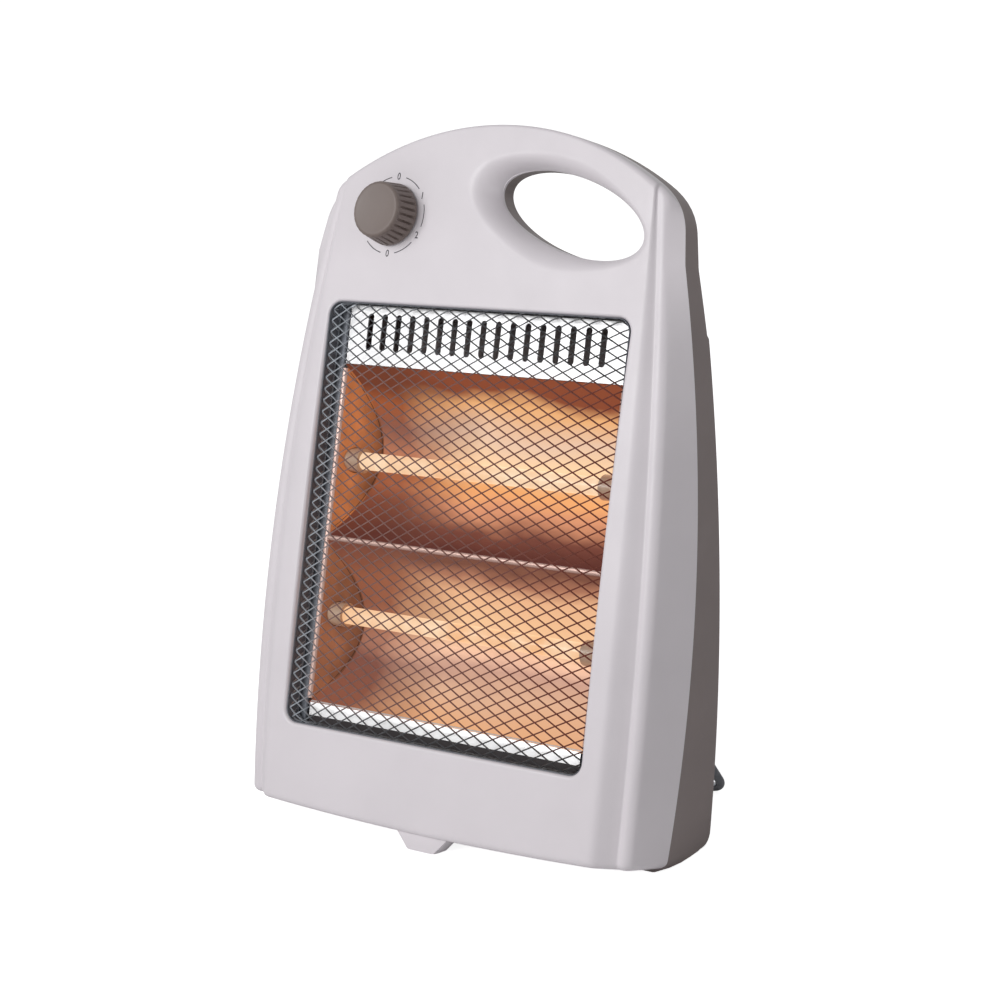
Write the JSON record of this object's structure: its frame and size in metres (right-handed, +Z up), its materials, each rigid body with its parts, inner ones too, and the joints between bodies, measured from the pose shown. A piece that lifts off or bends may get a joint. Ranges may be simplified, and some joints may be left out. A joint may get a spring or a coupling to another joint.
{
  "type": "electric bar heater",
  "caption": "Leaning quartz bar heater in a bowed two-part housing with a mesh guard, a carrying handle, a rotary dial, a tip-over foot and a folding wire stand.",
  "frame": {"origin": "centre of the overall footprint box, on the floor", "axes": "+Z up, +X to the viewer's right, the front faces -Y; lengths in metres"},
  "size_m": [0.2826, 0.1532, 0.3766],
  "materials": {
    "pale_plastic": "satin, pale warm grey moulding",
    "dark_plastic": "satin, warm dark grey moulding",
    "mesh_steel": "bright expanded metal",
    "reflector_sheet": "polished reflector sheet",
    "zinc_steel": "zinc plated",
    "quartz": "clear quartz",
    "coil_wire": "hot resistance wire",
    "ceramic": "glazed ceramic",
    "knob_plastic": "satin grey-brown moulding",
    "switch_plastic": "black moulding",
    "gland_rubber": "dark flexible sleeve",
    "wire_insulation": "heat-proof sleeve",
    "chromed_wire": "chromed wire"
  },
  "bodies": {
    "housing": {"front_housing": "pale_plastic", "rear_housing": "dark_plastic", "grille_mesh": "mesh_steel", "vent_strip": "reflector_sheet", "upper_reflector": "reflector_sheet", "lower_reflector": "reflector_sheet", "reflector_ends": "reflector_sheet", "end_brackets": "zinc_steel", "upper_quartz_tube": "quartz", "lower_quartz_tube": "quartz", "upper_heating_coil": "coil_wire", "lower_heating_coil": "coil_wire", "upper_end_caps": "ceramic", "lower_end_caps": "ceramic", "bar_terminals": "zinc_steel", "rotary_switch": "switch_plastic", "switch_bracket": "zinc_steel", "tip_switch": "switch_plastic", "heat_shield": "zinc_steel", "terminal_block": "ceramic", "cord_gland": "gland_rubber", "wiring": "wire_insulation", "stand_clips": "dark_plastic", "stand_screws": "zinc_steel", "housing_screws": "zinc_steel", "reflector_screws": "zinc_steel", "shield_screws": "zinc_steel"},
    "knob": {"control_knob": "knob_plastic", "switch_shaft": "zinc_steel"},
    "stand": {"wire_stand": "chromed_wire"},
    "foot": {"tip_foot": "pale_plastic"}
  },
  "joints": [
    {"name": "knob_turn", "type": "hinge", "parent": "housing", "child": "knob", "pos_m": [-0.0666, 0.03626, 0.32972], "axis": [0, -0.92, 0.3919], "range_deg": [-60, 120]},
    {"name": "stand_fold", "type": "hinge", "parent": "housing", "child": "stand", "pos_m": [0, 0.01713, 0.07263], "axis": [1, 0, 0], "range_deg": [-38, 0]},
    {"name": "tip_foot_slide", "type": "slide", "parent": "housing", "child": "foot", "axis": [0, -0.3256, -0.9455], "range_m": [0, 0.004], "stiffness_N_per_m": 50, "springref_m": 0.01}
  ]
}
